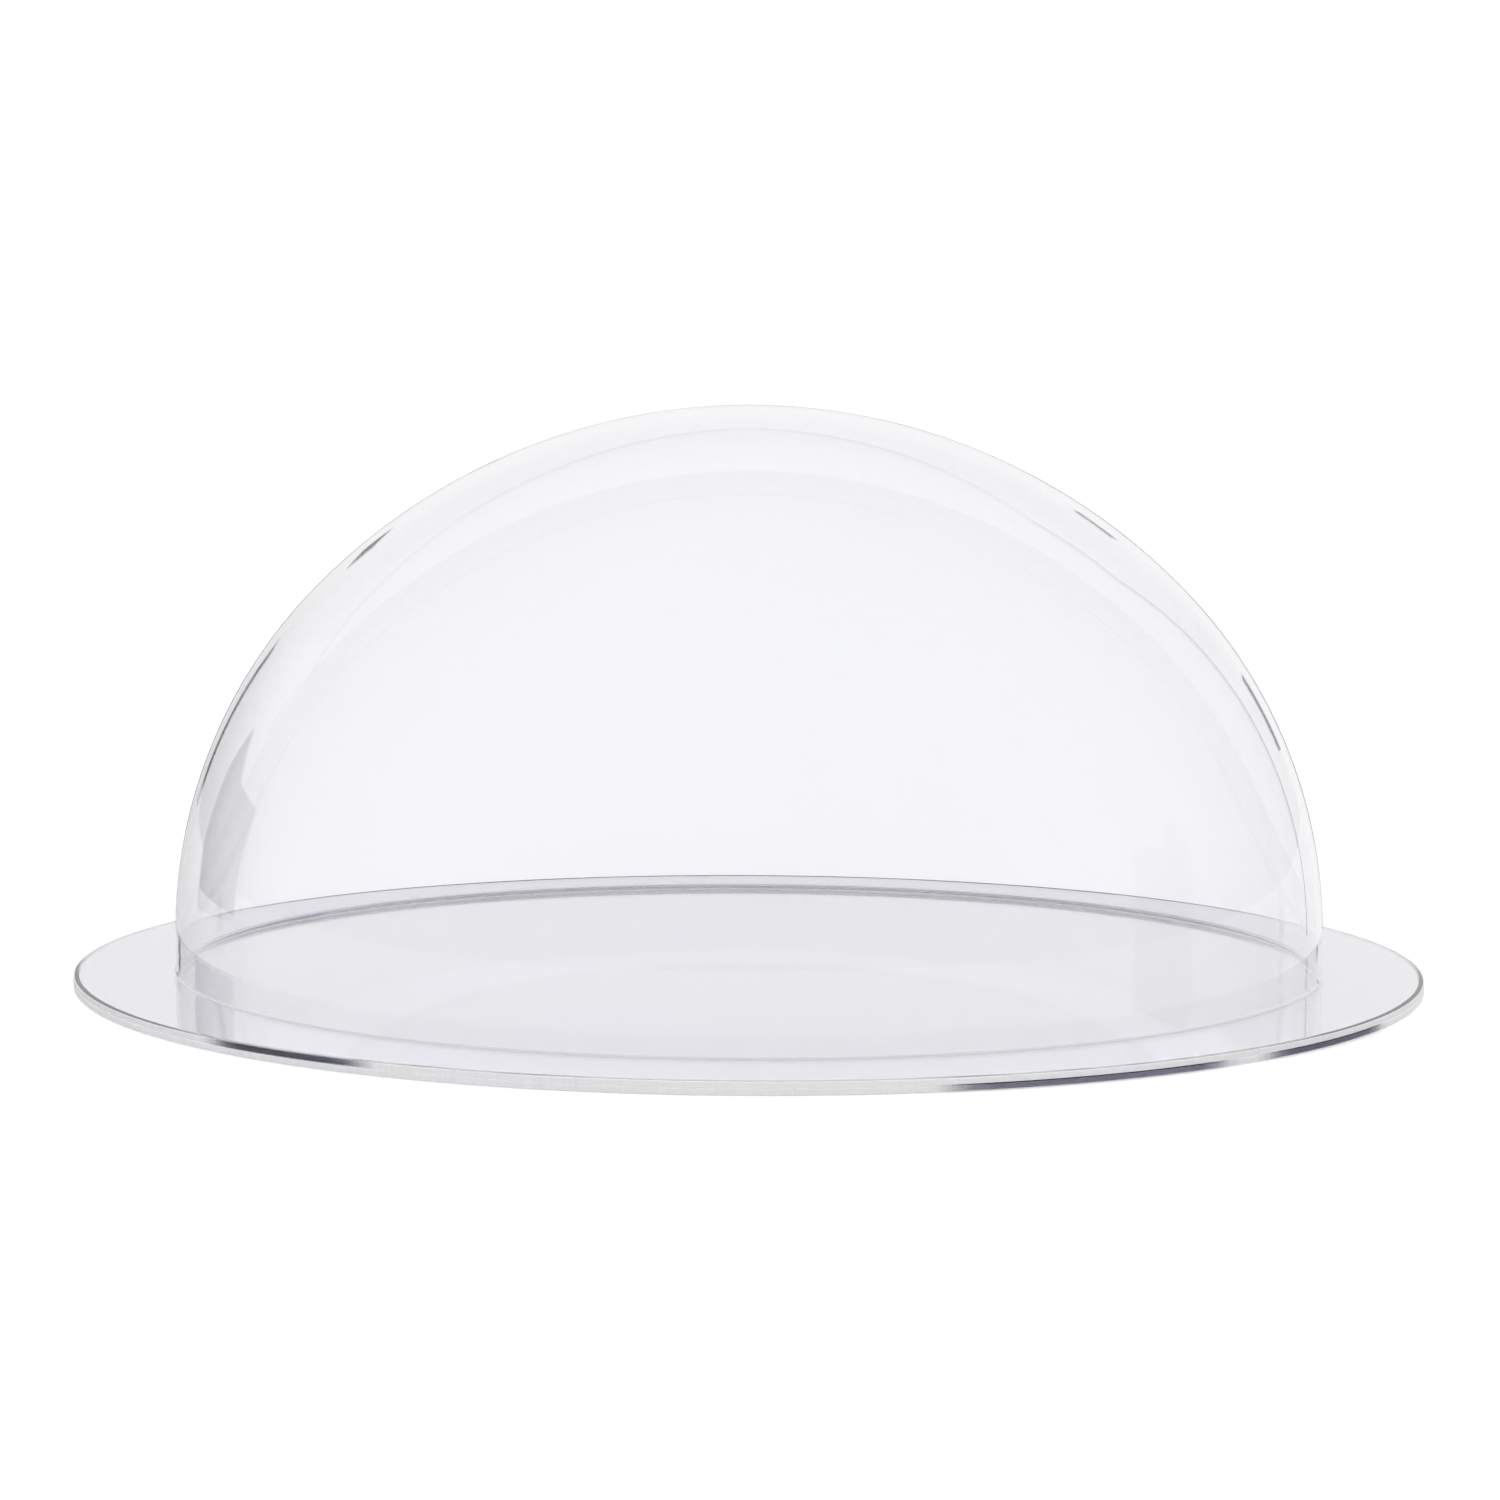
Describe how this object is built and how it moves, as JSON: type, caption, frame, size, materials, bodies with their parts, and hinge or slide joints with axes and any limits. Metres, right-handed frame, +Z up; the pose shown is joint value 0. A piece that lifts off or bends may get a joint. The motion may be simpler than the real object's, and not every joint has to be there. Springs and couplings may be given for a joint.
{
  "type": "humidity dome with tray",
  "caption": "Clear round humidity dome with a flat flange round its mouth, resting on a clear flat round tray plate that it lifts straight off.",
  "frame": {"origin": "middle of the tray's underside, which it stands on", "axes": "+Z up along the dome's axis; the object is round, so +X and +Y are a free choice across the tray"},
  "size_m": [0.4, 0.4, 0.1692],
  "materials": {
    "clear_dome": "clear, polished, uncoloured acrylic",
    "clear_tray": "clear, polished, uncoloured acrylic"
  },
  "bodies": {
    "tray": {"tray": "clear_tray"},
    "dome": {"dome": "clear_dome"}
  },
  "joints": [
    {"name": "dome_lift", "type": "slide", "parent": "tray", "child": "dome", "axis": [0, 0, 1], "range_m": [0, 0.2]}
  ]
}
